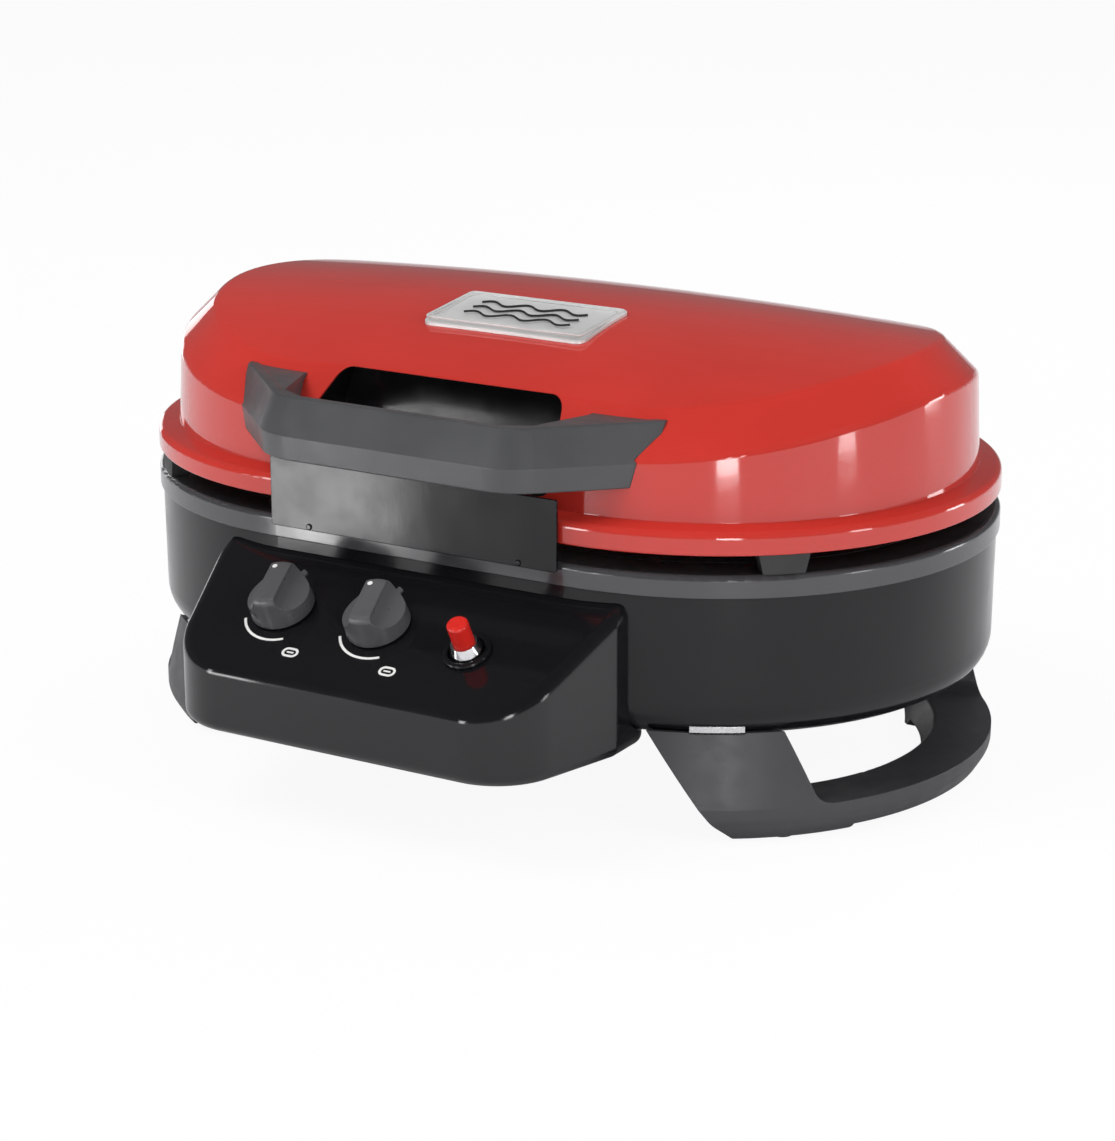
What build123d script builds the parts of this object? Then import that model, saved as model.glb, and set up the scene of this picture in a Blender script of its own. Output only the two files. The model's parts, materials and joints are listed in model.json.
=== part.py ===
from build123d import *
from math import atan2, cos, degrees, radians, sin, sqrt
import os

# Portable tabletop gas grill: a pressed-steel fire bowl with a hinged lid, two moulded end legs
# and a control box in front.  Millimetres; X is the long axis, -Y the front, Z up.  The origin is
# on the table plane, under the centre of the body.

# ---- Plan and levels
END_X = 110.0            # x of the two end centres; every ring is a stadium about them
FLANGE_R = 195.0         # lid flange, bowl band and leg outline
BOWL_R = 193.0           # bowl wall
LID_R = 180.0            # lid wall at the flange
LID_DRAFT = 0.048        # the lid wall leans in by this much per mm of height
FLOOR_Z = 68.0           # underside of the bowl
BAND_LOW_Z = 163.5
BAND_TOP_Z = 178.0
SKIRT_LOW_Z = 191.0
LEDGE_Z = 208.0
LEDGE_FALL = 2.5         # the ledge falls this much towards the flange's edge
LID_TOP_Z = 303.0
SHEET = 1.5              # lid sheet
BOWL_SHEET = 2.0
GAP = 0.1                # general clearance between touching pieces
RUNNING = 0.05           # radial clearance of a shaft in its bore

# ---- Lid form: wall, 45 degree bevel and barrel top
CROWN_Y_R = 430.0
CROWN_X_R = 4500.0
CROWN_Y = 5.0
BEVEL_END = 450.0        # bevel distance plus height, at the ends
BEVEL_FRONT = 423.0      # and along the straight sides
CREASE_R = 7.0
RECESS_TOP_Z = 273.5
RECESS_LOW_Z = 214.0
RECESS_TOP_HALF = 84.0
RECESS_LOW_HALF = 93.0
RECESS_BACK_Y = -133.0
RECESS_CORNER = 12.0

# ---- Control box
BOX_HALF = 153.0
BOX_FRONT_HALF = 129.0
BOX_SIDE_Y = -200.0              # the sides start to narrow here, towards the front
BOX_FRONT_Y = -291.0
BOX_BACK_Y = -160.0
BOX_LOW_Z = 58.0
BOX_CORNER = 48.0
BOX_WALL = 3.0
PANEL_TOP = (-192.0, 156.0)      # (y, z) at the upper edge of the sloping panel
PANEL_LOW = (-291.0, 103.0)
PANEL_ANGLE = degrees(atan2(PANEL_TOP[1] - PANEL_LOW[1], PANEL_TOP[0] - PANEL_LOW[0]))
CONTROL_DOWN = 52.0              # distance of the controls down the slope
KNOB_X = {"left": -74.0, "right": 0.0}
IGNITER_X = 71.0
IGNITER_DOWN = 8.0               # the igniter sits this much lower than the knobs
KNOB_R = 21.5
KNOB_TOP = 24.5
GRIP_TURN = 10.0                 # the grip leans this far from straight up the slope
STEM_R = 3.0
BUTTON_R = 7.1
ROD_R = 2.5
GAS_Y = -216.2                   # manifold tube, behind and below the valves
GAS_Z = 91.0
GAS_R = 5.5
INLET_R = 8.0                    # socket for the regulator's plug
INLET_DEPTH = 18.0
INLET_FACE_X = 151.0
COLLAR_R = 11.5
COLLAR_L = 12.0

# ---- Hearth
BURNER_Z = 112.0
BURNER_X = 74.0
BURNER_RING_R = 48.0
TUBE_R = 9.0
LEDGE_LOW_Z = 168.0              # grates stand on this ledge
GRATE_R = 163.5
GRATE_H = 10.0
GRATE_GAP = 0.8                  # each half stops this far from the middle plane
ELECTRODE_X = -37.0

# ---- Legs and hinges
LEG_INNER_R = 156.0
LEG_INNER_LOW_R = 146.0
LEG_TOP_Z = 73.0
LEG_TOP_R = 187.0
LEG_PAD_Z = 66.0
LEG_LOW_Z = 1.0
LEG_ARM = 14.0
FOOT_TOP_Z = 24.0
PAD_ANGLES = (-46, 46)
PAD_AT_R = 176.0
PAD_R = 8.0
ARM_SCREW_ANGLES = (-60, 60)
ARM_SCREW_AT_R = 172.0
BRACKET_HALF = 17.5
BRACKET_H = 2.0
BRACKET_R = 187.6
HINGE_X = 70.0
HINGE_Y = 203.5
HINGE_Z = 184.5
KNUCKLE_R = 5.0
PIN_R = 2.5
RIVET_R = 1.6
RIVET_L = 5.6
HINGE_BASE_RIVET_X = (65.5, 74.5)
HINGE_LID_RIVET_X = (57.0, 83.0)
HINGE_BASE_RIVET_Z = 170.5
HINGE_LID_RIVET_Z = 198.0

# ---- Handle
HANDLE_FRONT_Y = -230.0
HANDLE_BEND_X = 91.0
HANDLE_BEND_R = 46.0
HANDLE_END = (180.0, -146.0)     # the ridge line runs on to this point, inside the lid
HANDLE_HALF = 159.0              # the ends are trimmed square at this distance
HANDLE_RIDGE_Z = 243.5
HANDLE_LOW_Z = 227.5
HANDLE_TOP_Z = 267.5
HANDLE_SCREW_Z = 238.0
HANDLE_SCREW_R = 2.0

# ---- Front guard
GUARD_X = (-110.0, 108.0)
GUARD_FRONT_Y = -199.2
GUARD_H = 2.0
GUARD_LOW_Z = 173.0
GUARD_TOP_Z = 220.0
GUARD_RIVET_R = 1.0

# ---- Nameplate, left plain
PLATE_HALF = 62.6
PLATE_FRONT_Y = -89.7
PLATE_BACK_Y = -26.0
PLATE_H = 2.0

panel = Plane(
    origin=(
        0,
        PANEL_TOP[0] - CONTROL_DOWN * cos(radians(PANEL_ANGLE)),
        PANEL_TOP[1] - CONTROL_DOWN * sin(radians(PANEL_ANGLE)),
    ),
    x_dir=(1, 0, 0),
    z_dir=(0, -sin(radians(PANEL_ANGLE)), cos(radians(PANEL_ANGLE))),
)
igniter_place = panel * Pos(IGNITER_X, -IGNITER_DOWN, 0)


# ---- Drawing helpers
def outline(points, rounds=()):
    """A closed face through the points; rounds pairs a corner with its radius."""
    face = Sketch() + make_face(Polyline(*points, close=True))
    for corner, radius in rounds:
        face = fillet(face.vertices().sort_by_distance(Vector(*corner))[0], radius)
    return face


def stadium(radius, z):
    return Pos(0, 0, z) * SlotOverall(2 * (END_X + radius), 2 * radius)


def around_body(section):
    """Carries a section, drawn as (distance from the stadium's spine, height), round the body."""
    end = revolve(Plane.YZ.offset(END_X) * section, Axis((END_X, 0, 0), (0, 0, -1)), 180)
    side = extrude(Plane.YZ.offset(-END_X) * section, 2 * END_X, dir=(1, 0, 0))
    return end + mirror(end, Plane.YZ) + side + mirror(side, Plane.XZ)


def along_y(face, y_from, y_to):
    """Extrudes a face drawn as (x, z) between two values of y."""
    placed = Plane((0, y_from, 0), x_dir=(1, 0, 0), z_dir=(0, -1, 0)) * face
    return extrude(placed, y_to - y_from, dir=(0, 1, 0))


def along_x(face, x_from, x_to):
    """Extrudes a face drawn as (y, z) between two values of x."""
    return extrude(Plane.YZ.offset(x_from) * face, x_to - x_from, dir=(1, 0, 0))


def rod(start, direction, radius, length):
    """A cylinder from start along direction."""
    place = Plane(origin=start, z_dir=direction)
    return extrude(place * Circle(radius), length)


def tube(path, outer, inner=0.0):
    """A round tube along a path."""
    start = Plane(origin=path @ 0, z_dir=path % 0)
    solid = sweep(start * Circle(outer), path=path)
    if inner:
        solid = solid - sweep(start * Circle(inner), path=path)
    return solid


def both_sides(shape):
    """The shape and its mirror image across the middle plane x = 0."""
    return [shape, mirror(shape, Plane.YZ)]


def group(*shapes):
    """Separate solids that share one node."""
    solids = []
    for shape in shapes:
        solids.extend(shape.solids())
    return Compound(children=solids)


def rivet(x, y, z, outward, radius=RIVET_R):
    """A domed rivet whose head sits on a face at y and points along outward, +1 or -1."""
    head = rod((x, y, z), (0, outward, 0), 2.1 * radius, radius)
    head = fillet(head.edges().sort_by(Axis.Y)[0 if outward < 0 else -1], 0.7 * radius)
    return head + rod((x, y, z), (0, -outward, 0), radius, RIVET_L)


def rivet_holes(spots, radius=RIVET_R):
    """The holes that the rivets at these spots go through."""
    reach = RIVET_L + 3.4
    return [rod((x, y + out, z), (0, -out, 0), radius + RUNNING, reach) for x, y, z, out in spots]


def guard_rivet_spots():
    return [(x, GUARD_FRONT_Y, GUARD_LOW_Z + 2.5, -1) for x in (-80, 80)]


def hinge_rivet_spots(z):
    xs = HINGE_BASE_RIVET_X if z < HINGE_Z else HINGE_LID_RIVET_X
    return [(side * x, FLANGE_R + GAP + 2, z, 1) for x in xs for side in (1, -1)]


def end_point(radius, angle, z, side=1):
    """A point on a ring at one end; angle 0 is outermost and negative angles are in front."""
    reach = END_X + radius * cos(radians(angle))
    return (side * reach, radius * sin(radians(angle)), z)


# ---- Lid
def lid_form(inset=0.0):
    """The solid under the lid's skin, moved in by inset."""
    low = LEDGE_Z - SHEET
    top = LID_TOP_Z + 20
    wall = loft(
        [
            stadium(LID_R - inset - LID_DRAFT * (z - LEDGE_Z), z).face()
            for z in (low, top)
        ],
        ruled=True,
    )
    axis_z = LID_TOP_Z - CROWN_Y_R
    half = 330.0
    crown = LID_TOP_Z - inset
    drop = half * half / (2 * CROWN_X_R)
    arc = ThreePointArc((-half, crown - drop), (0, crown), (half, crown - drop))
    legs = Polyline((half, crown - drop), (half, axis_z), (-half, axis_z), (-half, crown - drop))
    profile = Plane((0, CROWN_Y, 0), x_dir=(1, 0, 0), z_dir=(0, -1, 0)) * make_face([arc, legs])
    barrel = revolve(profile, Axis((0, CROWN_Y, axis_z), (1, 0, 0)), 360)
    bevel = loft([bevel_plan(z, inset * sqrt(2)) for z in (low, top)], ruled=True)
    return wall & barrel & bevel


def bevel_plan(z, inset):
    """The bevel's outline at one height: straight sides with half-ellipse ends."""
    reach = BEVEL_END - z - inset
    depth = BEVEL_FRONT - z - inset
    right = EllipticalCenterArc((END_X, 0), reach, depth, -90, arc_size=180)
    left = EllipticalCenterArc((-END_X, 0), reach, depth, 90, arc_size=180)
    back = Line((END_X, depth), (-END_X, depth))
    front = Line((-END_X, -depth), (END_X, -depth))
    return Pos(0, 0, z) * make_face([right, back, left, front]).face()


def recess_outline(grow=0.0):
    """The finger recess behind the handle, as (x, z)."""
    top = (RECESS_TOP_HALF + grow, RECESS_TOP_Z + grow)
    shoulder = (RECESS_LOW_HALF + grow, RECESS_TOP_Z - 24)
    low = (RECESS_LOW_HALF + grow, RECESS_LOW_Z - grow)
    points = [top, shoulder, low]
    points += [(-x, z) for x, z in reversed(points)]
    rounds = []
    for x, z in (top, shoulder, low):
        for sign in (1, -1):
            rounds.append(((sign * x, z), RECESS_CORNER + grow))
    return outline(points, rounds)


def lid_flange():
    edge = LEDGE_Z - LEDGE_FALL
    section = outline(
        [
            (LID_R - SHEET, LEDGE_Z - SHEET),
            (FLANGE_R - SHEET - 2, edge - SHEET),
            (FLANGE_R - SHEET, edge - SHEET - 2),
            (FLANGE_R - SHEET, SKIRT_LOW_Z + 3),
            (FLANGE_R - 3.5, SKIRT_LOW_Z + 3),
            (FLANGE_R - 3.5, SKIRT_LOW_Z),
            (FLANGE_R, SKIRT_LOW_Z),
            (FLANGE_R, edge),
            (LID_R, LEDGE_Z),
            (LID_R - SHEET, LEDGE_Z),
        ],
        [((FLANGE_R, edge), 4.5), ((FLANGE_R, SKIRT_LOW_Z), 1.2)],
    )
    return around_body(section)


def handle_screw_points():
    """(x, y, z) where each handle screw crosses the lid's inner face."""
    points = []
    for x in (108.0, 121.0):
        radius = LID_R - SHEET - LID_DRAFT * (HANDLE_SCREW_Z - LEDGE_Z)
        y = -sqrt(radius**2 - max(x - END_X, 0) ** 2)
        points += [(x, y, HANDLE_SCREW_Z), (-x, y, HANDLE_SCREW_Z)]
    return points


def screw_holes(radius):
    holes = [rod((x, y + 6, z), (0, -1, 0), radius, 18) for x, y, z in handle_screw_points()]
    return holes[0] + holes[1:]


def lid_shell():
    skin = fillet_creases(lid_form()) - lid_form(SHEET)
    shell = skin + lid_flange()
    shell = shell - along_y(recess_outline(), -260, -140)
    shell = shell - screw_holes(HANDLE_SCREW_R + GAP)
    return shell - nameplate_pins(GAP) - rivet_holes(hinge_rivet_spots(HINGE_LID_RIVET_Z))


def fillet_creases(form):
    """Softens the crease between wall and bevel and the one between bevel and top."""
    low = LEDGE_Z
    creases = [edge for edge in form.edges() if edge.bounding_box().min.Z > low]
    long_ones = [edge for edge in creases if edge.length > 60]
    return fillet(long_ones, CREASE_R)


def lid_recess_pan():
    block = along_y(recess_outline(SHEET), -200, RECESS_BACK_Y) & lid_form(SHEET + GAP)
    return block - along_y(recess_outline(), -200, RECESS_BACK_Y - SHEET)


def nameplate():
    mid_y = (PLATE_FRONT_Y + PLATE_BACK_Y) / 2
    depth = PLATE_BACK_Y - PLATE_FRONT_Y
    blank = extrude(Pos(0, mid_y, 280) * RectangleRounded(2 * PLATE_HALF, depth, 7), 40)
    field = extrude(Pos(0, mid_y, 280) * RectangleRounded(2 * PLATE_HALF - 10, depth - 10, 4), 40)
    plate = (blank & lid_form(-PLATE_H)) - lid_form(-0.02)
    return plate - (field - lid_form(-PLATE_H + 0.7)) - nameplate_pins(RUNNING)


def nameplate_pins(grow=0.0):
    mid_y = (PLATE_FRONT_Y + PLATE_BACK_Y) / 2
    pins = [rod((x, mid_y, 294), (0, 0, 1), 2.0 + grow, 4.6) for x in (-40, 40)]
    return pins[0] + pins[1:]


def handle_section():
    """The bar, drawn as (distance in from the ridge line, height)."""
    low_front = (1.5, HANDLE_LOW_Z)
    top_front = (9, HANDLE_TOP_Z)
    top_back = (17, HANDLE_TOP_Z)
    low_back = (21, HANDLE_LOW_Z)
    points = [(0, HANDLE_RIDGE_Z), low_front, low_back, (23, HANDLE_RIDGE_Z), top_back, top_front]
    return outline(points, [(low_front, 1.2), (top_front, 2.4), (top_back, 3.0)])


def lid_handle():
    ends = [(-HANDLE_END[0], HANDLE_END[1]), (-HANDLE_BEND_X, HANDLE_FRONT_Y)]
    ends += [(-x, y) for x, y in reversed(ends)]
    path = FilletPolyline(*ends, radius=HANDLE_BEND_R)
    start = Plane(origin=path @ 0, x_dir=(path % 0).cross(Vector(0, 0, -1)), z_dir=path % 0)
    bar = sweep(start * handle_section(), path=path)
    inner = (-94, -203)
    ear_plan = outline(
        [(-172, -143), (-109, -148), (-109, -161), inner, (-72, -214), (-80, -221)],
        [(inner, 8.0)],
    )
    ear = extrude(Pos(0, 0, HANDLE_LOW_Z + 2) * ear_plan, HANDLE_TOP_Z - HANDLE_LOW_Z - 2.6)
    body = bar + both_sides(ear)
    body = body & Pos(0, -200, HANDLE_RIDGE_Z) * Box(2 * HANDLE_HALF, 200, 100)
    return body - lid_form(-0.05) - screw_holes(HANDLE_SCREW_R + GAP)


def handle_screws():
    pieces = []
    for x, y, z in handle_screw_points():
        head = rod((x, y + 3.4, z), (0, -1, 0), 4.0, 2.2)
        shank = rod((x, y + 1.4, z), (0, -1, 0), HANDLE_SCREW_R, 12)
        pieces.append(head + shank)
    return group(*pieces)


# ---- Fire bowl and what stands in it
def fire_bowl():
    wall_in = BOWL_R - BOWL_SHEET
    section = outline(
        [
            (0, FLOOR_Z),
            (BOWL_R - 1, FLOOR_Z),
            (BOWL_R, BAND_LOW_Z),
            (FLANGE_R, BAND_LOW_Z),
            (FLANGE_R, BAND_TOP_Z),
            (wall_in, BAND_TOP_Z),
            (wall_in - 1, FLOOR_Z + BOWL_SHEET),
            (0, FLOOR_Z + BOWL_SHEET),
        ],
        [
            ((BOWL_R - 1, FLOOR_Z), 24.0),
            ((wall_in - 1, FLOOR_Z + BOWL_SHEET), 22.0),
            ((FLANGE_R, BAND_TOP_Z), 3.0),
            ((FLANGE_R, BAND_LOW_Z), 0.8),
        ],
    )
    bowl = around_body(section)
    for x in KNOB_X.values():
        bowl = bowl - rod((x, -BOWL_R - 3, BURNER_Z), (0, 1, 0), 13.5, 10)
    bowl = bowl - rod((ELECTRODE_X, -BOWL_R - 3, BURNER_Z), (0, 1, 0), 4.0, 10)
    for x in (-60, -20, 20, 60):
        for y in (-120, 120):
            bowl = bowl - rod((x, y, FLOOR_Z - 1), (0, 0, 1), 5.0, 5)
    bowl = bowl - rivet_holes(guard_rivet_spots(), GUARD_RIVET_R)
    return bowl - rivet_holes(hinge_rivet_spots(HINGE_BASE_RIVET_Z))


def grate_ring():
    """A stepped ring inside the rim: its top closes the rim and its ledge carries the grates."""
    outer = BOWL_R - BOWL_SHEET - 0.2
    step = GRATE_R + SHEET
    section = outline(
        [
            (outer, BAND_TOP_Z - 18),
            (outer, BAND_TOP_Z),
            (step, BAND_TOP_Z),
            (step, LEDGE_LOW_Z),
            (step - 15, LEDGE_LOW_Z),
            (step - 15, LEDGE_LOW_Z - SHEET),
            (step + SHEET, LEDGE_LOW_Z - SHEET),
            (step + SHEET, BAND_TOP_Z - SHEET),
            (outer - SHEET, BAND_TOP_Z - SHEET),
            (outer - SHEET, BAND_TOP_Z - 18),
        ]
    )
    return around_body(section)


def lid_rest_blocks():
    """Wedge-sided blocks on the rim that hold the lid's skirt clear of the bowl."""
    blocks = []
    half_top = 16.5
    half_low = 13.5
    low = BAND_TOP_Z
    top = SKIRT_LOW_Z - 0.05
    for side in (1, -1):
        for angle in (-48, 48):
            inner = end_point(180, angle, 0, side)
            outward = Vector(side * cos(radians(angle)), sin(radians(angle)), 0)
            place = Plane(origin=inner, x_dir=outward.cross(Vector(0, 0, 1)), z_dir=outward)
            up = -1 if place.y_dir.Z < 0 else 1
            right = [(half_low, up * low), (half_top, up * top)]
            face = outline(right + [(-x, z) for x, z in reversed(right)])
            ring = Pos(side * END_X, 0, low) * (Cylinder(193, 60) - Cylinder(181, 60))
            blocks.append(extrude(place * face, 16) & ring)
    return group(*blocks)


def front_guard():
    """A plate in front of the handle, riveted to the rim through two spacing pads."""
    left, right = GUARD_X
    back = GUARD_FRONT_Y + GUARD_H
    face = [(left, GUARD_LOW_Z), (right, GUARD_LOW_Z), (right, GUARD_TOP_Z), (left, GUARD_TOP_Z)]
    plate = along_y(outline(face), GUARD_FRONT_Y, back)
    plate = fillet(plate.edges().filter_by(Axis.Y), 1.5)
    pad_y = (back - FLANGE_R) / 2
    pads = [Pos(x, pad_y, z) * Box(16, -FLANGE_R - back, 4) for x, y, z, out in guard_rivet_spots()]
    return plate + pads - rivet_holes(guard_rivet_spots(), GUARD_RIVET_R)


def burner_section(inset=0.0):
    """Half section of the pressed burner ring, as (distance from its centre, height)."""
    reach = TUBE_R - inset
    chamfer = 3.0
    half = [
        (BURNER_RING_R - reach, BURNER_Z - reach + chamfer),
        (BURNER_RING_R - reach + chamfer, BURNER_Z - reach),
        (BURNER_RING_R + reach - chamfer, BURNER_Z - reach),
        (BURNER_RING_R + reach, BURNER_Z - reach + chamfer),
        (BURNER_RING_R + reach, BURNER_Z + reach - chamfer),
        (BURNER_RING_R + reach - chamfer, BURNER_Z + reach),
        (BURNER_RING_R - reach + chamfer, BURNER_Z + reach),
        (BURNER_RING_R - reach, BURNER_Z + reach - chamfer),
    ]
    return outline(half)


def burner(side):
    """A pressed ring with a crimped seam, fed by a venturi tube from the valve's jet."""
    centre_x = BURNER_X if side == "right" else -BURNER_X
    entry = (KNOB_X[side], -204.0, BURNER_Z)
    join = (centre_x, -BURNER_RING_R, BURNER_Z)
    if side == "left":
        feed = Line(entry, join)
    else:
        bends = [entry, (entry[0], -150, BURNER_Z), (centre_x, -95, BURNER_Z), join]
        feed = FilletPolyline(*bends, radius=24)
    axis = Axis((centre_x, 0, 0), (0, 0, 1))
    ring = revolve(Plane.XZ * Pos(centre_x, 0) * burner_section(), axis, 360)
    seam = Pos(centre_x, 0, BURNER_Z) * Cylinder(BURNER_RING_R + TUBE_R + 3, SHEET)
    seam = seam - Pos(centre_x, 0, BURNER_Z) * Cylinder(BURNER_RING_R - TUBE_R - 3, 10)
    hollow = revolve(Plane.XZ * Pos(centre_x, 0) * burner_section(SHEET), axis, 360)
    mouth = rod(entry, (0, 1, 0), 11.5, 8)
    body = ring + seam + tube(feed, TUBE_R - 1) + mouth
    body = body - hollow - tube(feed, TUBE_R - 1 - SHEET) - rod(entry, (0, 1, 0), 10.0, 6)
    ports = []
    for step in range(18):
        turn = radians(20.0 * step + 7)
        x = centre_x + BURNER_RING_R * cos(turn)
        y = BURNER_RING_R * sin(turn)
        ports.append(rod((x, y, BURNER_Z + 4), (0, 0, 1), 1.6, 8))
    return body - ports


def burner_straps():
    """A bent strap under each burner ring, standing on the bowl's floor."""
    floor = FLOOR_Z + BOWL_SHEET
    top = BURNER_Z - TUBE_R
    leg_y = 158.5
    foot_y = 166.0
    points = [
        (-foot_y, floor),
        (-leg_y, floor),
        (-leg_y, top - SHEET),
        (leg_y, top - SHEET),
        (leg_y, floor),
        (foot_y, floor),
        (foot_y, floor + SHEET),
        (leg_y + SHEET, floor + SHEET),
        (leg_y + SHEET, top),
        (-leg_y - SHEET, top),
        (-leg_y - SHEET, floor + SHEET),
        (-foot_y, floor + SHEET),
    ]
    return group(*both_sides(along_x(outline(points), BURNER_X - 9, BURNER_X + 9)))


def drip_pan():
    section = outline(
        [(0, 71), (148, 71), (151, 96), (155, 96), (155, 97), (150, 97), (147, 72), (0, 72)]
    )
    return around_body(section)


def grate(side):
    """Half of the cooking surface: a rim with bars that run front to back."""
    sign = -1 if side == "left" else 1
    rim = 9.0
    bar = 6.0
    cut = Pos(sign * 200, 0) * Rectangle(2 * (200 - GRATE_GAP), 400)
    whole = SlotOverall(2 * (END_X + GRATE_R), 2 * GRATE_R)
    hole = SlotOverall(2 * (END_X + GRATE_R - rim), 2 * (GRATE_R - rim))
    inner_cut = Pos(sign * 200, 0) * Rectangle(2 * (200 - GRATE_GAP - rim), 400)
    opening = hole & inner_cut
    bars = Sketch()
    for step in range(15):
        bars += Pos(sign * (25.5 + 16.5 * step), 0) * Rectangle(bar, 400)
    bars += Pos(sign * 136, 0) * Rectangle(272, 8)
    face = (whole & cut) - (opening - bars)
    body = extrude(Pos(0, 0, LEDGE_LOW_Z + GAP) * face, GRATE_H)
    lift_hole = Pos(sign * GRATE_GAP, 0, LEDGE_LOW_Z + 5) * Cylinder(11, 30)
    return body - lift_hole


def electrode():
    ceramic = rod((ELECTRODE_X, -206, BURNER_Z), (0, 1, 0), 3.5, 136)
    return ceramic + rod((ELECTRODE_X, -71, BURNER_Z), (0, 1, 0), 1.0, 16)


# ---- Control box and gas train
def box_form(inset, low_z):
    """The control box's solid shape, moved in by inset, with its underside at low_z."""
    front = (BOX_FRONT_HALF - inset, BOX_FRONT_Y + inset)
    side = (BOX_HALF - inset, BOX_SIDE_Y)
    back = (BOX_HALF - inset, BOX_BACK_Y - inset)
    right = [front, side, back]
    rounds = []
    for (x, y), radius in ((front, BOX_CORNER), (side, 6.0), (back, 12.0)):
        rounds += [((x, y), radius - inset), ((-x, y), radius - inset)]
    plan = outline(right + [(-x, y) for x, y in reversed(right)], rounds)
    block = extrude(Pos(0, 0, low_z) * plan, 200)
    normal_drop = inset / cos(radians(PANEL_ANGLE))
    top = (PANEL_TOP[0], PANEL_TOP[1] - normal_drop)
    slope = (PANEL_TOP[1] - PANEL_LOW[1]) / (PANEL_TOP[0] - PANEL_LOW[0])
    far_y = -330.0
    above = outline(
        [
            (far_y, top[1] + slope * (far_y - top[0])),
            (top[0], top[1]),
            (-100, top[1]),
            (-100, 400),
            (far_y, 400),
        ]
    )
    return block - along_x(above, -200, 200)


def bowl_space(grow):
    """The room the bowl takes, with a clearance all round."""
    radius = BOWL_R + grow
    section = outline(
        [
            (0, FLOOR_Z - grow),
            (radius - 1, FLOOR_Z - grow),
            (radius, BAND_LOW_Z - grow),
            (FLANGE_R + grow, BAND_LOW_Z - grow),
            (FLANGE_R + grow, 300),
            (0, 300),
        ],
        [((radius - 1, FLOOR_Z - grow), 24.0)],
    )
    return around_body(section)


def control_box():
    form = box_form(0.0, BOX_LOW_Z)
    soft = [
        edge
        for edge in form.edges()
        if edge.bounding_box().max.Z < BOX_LOW_Z + 0.5
        or (
            edge.bounding_box().max.Z < PANEL_TOP[1] - 0.5
            and abs(edge.center().Z - panel_height(edge.center().Y)) < 1.0
        )
    ]
    form = fillet(soft, 8.0)
    shell = form - box_form(BOX_WALL, BOX_LOW_Z + BOX_WALL)
    under = extrude(Pos(0, -226, BOX_LOW_Z - 1) * RectangleRounded(226, 100, 30), 10)
    shell = shell - under - bowl_space(0.3)
    for x in KNOB_X.values():
        shell = shell - panel * Pos(x, 0, 0) * Cylinder(5, 20)
    shell = shell - igniter_place * Cylinder(9.8, 20)
    shell = shell - rod((-INLET_FACE_X - 7, GAS_Y, GAS_Z), (1, 0, 0), COLLAR_R + GAP, 24)
    return shell - cover_screws(GAP)


def panel_height(y):
    """Height of the sloping panel at a given y."""
    slope = (PANEL_TOP[1] - PANEL_LOW[1]) / (PANEL_TOP[0] - PANEL_LOW[0])
    return PANEL_LOW[1] + slope * (y - PANEL_LOW[0])


def control_box_cover():
    plate = extrude(Pos(0, -226, BOX_LOW_Z + BOX_WALL + GAP) * RectangleRounded(244, 112, 34), SHEET)
    return plate - bowl_space(1.0) - cover_screws(GAP)


def cover_screws(grow=0.0):
    z = BOX_LOW_Z + BOX_WALL + GAP + SHEET
    screws = []
    for x, y in ((-117.5, -226), (117.5, -226)):
        shank = rod((x, y, z + grow), (0, 0, -1), 1.0 + grow, SHEET + 2 + 2 * grow)
        screws.append(shank if grow else shank + rod((x, y, z), (0, 0, 1), 3.0, 1.5))
    return Compound(children=[s for screw in screws for s in screw.solids()])


def panel_marks():
    """Raised print on the panel: a turn arc and a small burner ring sign for each knob."""
    marks = []
    for x in KNOB_X.values():
        arc = CenterArc((x + 2.5, -2.5), 26.5, 207, 92)
        marks.append(trace(arc, 1.8))
        marks.append(Pos(x + 27, -35.7) * (SlotOverall(12, 8) - SlotOverall(8.6, 4.6)))
        marks.append(Pos(x + 27, -35.7) * Rectangle(5.0, 1.2))
    return group(*[extrude(panel * mark, 0.25) for mark in marks])


def valve(side):
    """Brass valve body with a stem bore, a bonnet and a jet that points at the venturi."""
    x = KNOB_X[side]
    block = panel * Pos(x, 0, -24) * Box(20, 20, 32)
    bonnet = panel * Pos(x, 0, -5.6) * Cylinder(8, 4.8)
    jet_y = panel.origin.Y + 24 * sin(radians(PANEL_ANGLE))
    jet = rod((x, jet_y, BURNER_Z), (0, 1, 0), 3.5, -202 - jet_y)
    bore = panel * Pos(x, 0, -15) * Cylinder(STEM_R + RUNNING, 30)
    return block + bonnet + jet - bore


def gas_manifold():
    return rod((-126, GAS_Y, GAS_Z), (1, 0, 0), GAS_R, 138)


def gas_inlet_fitting():
    """Brass socket in the box's left side, where the regulator plugs in."""
    x = -INLET_FACE_X
    collar = rod((x, GAS_Y, GAS_Z), (1, 0, 0), COLLAR_R, COLLAR_L)
    inner_end = Plane(origin=(x + COLLAR_L, GAS_Y, GAS_Z), x_dir=(0, 1, 0), z_dir=(1, 0, 0))
    body = collar + extrude(inner_end * RegularPolygon(12.7, 6), 13)
    return body - rod((x, GAS_Y, GAS_Z), (1, 0, 0), INLET_R, INLET_DEPTH)


def igniter_body():
    barrel = Pos(0, 0, -20) * Cylinder(9.6, 40)
    nut = Pos(0, 0, -6.2) * Cylinder(14, 6)
    bore = Pos(0, 0, -5) * Cylinder(BUTTON_R + GAP, 14)
    bore = bore + Pos(0, 0, -20) * Cylinder(ROD_R + RUNNING, 24)
    return igniter_place * (barrel + nut - bore)


def igniter_bezel():
    ring = Cylinder(16, 3) - Cylinder(12, 3)
    ring = fillet(ring.edges().filter_by(GeomType.CIRCLE).group_by(Axis.Z)[-1], 1.2)
    return igniter_place * Pos(0, 0, 1.5) * ring


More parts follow.
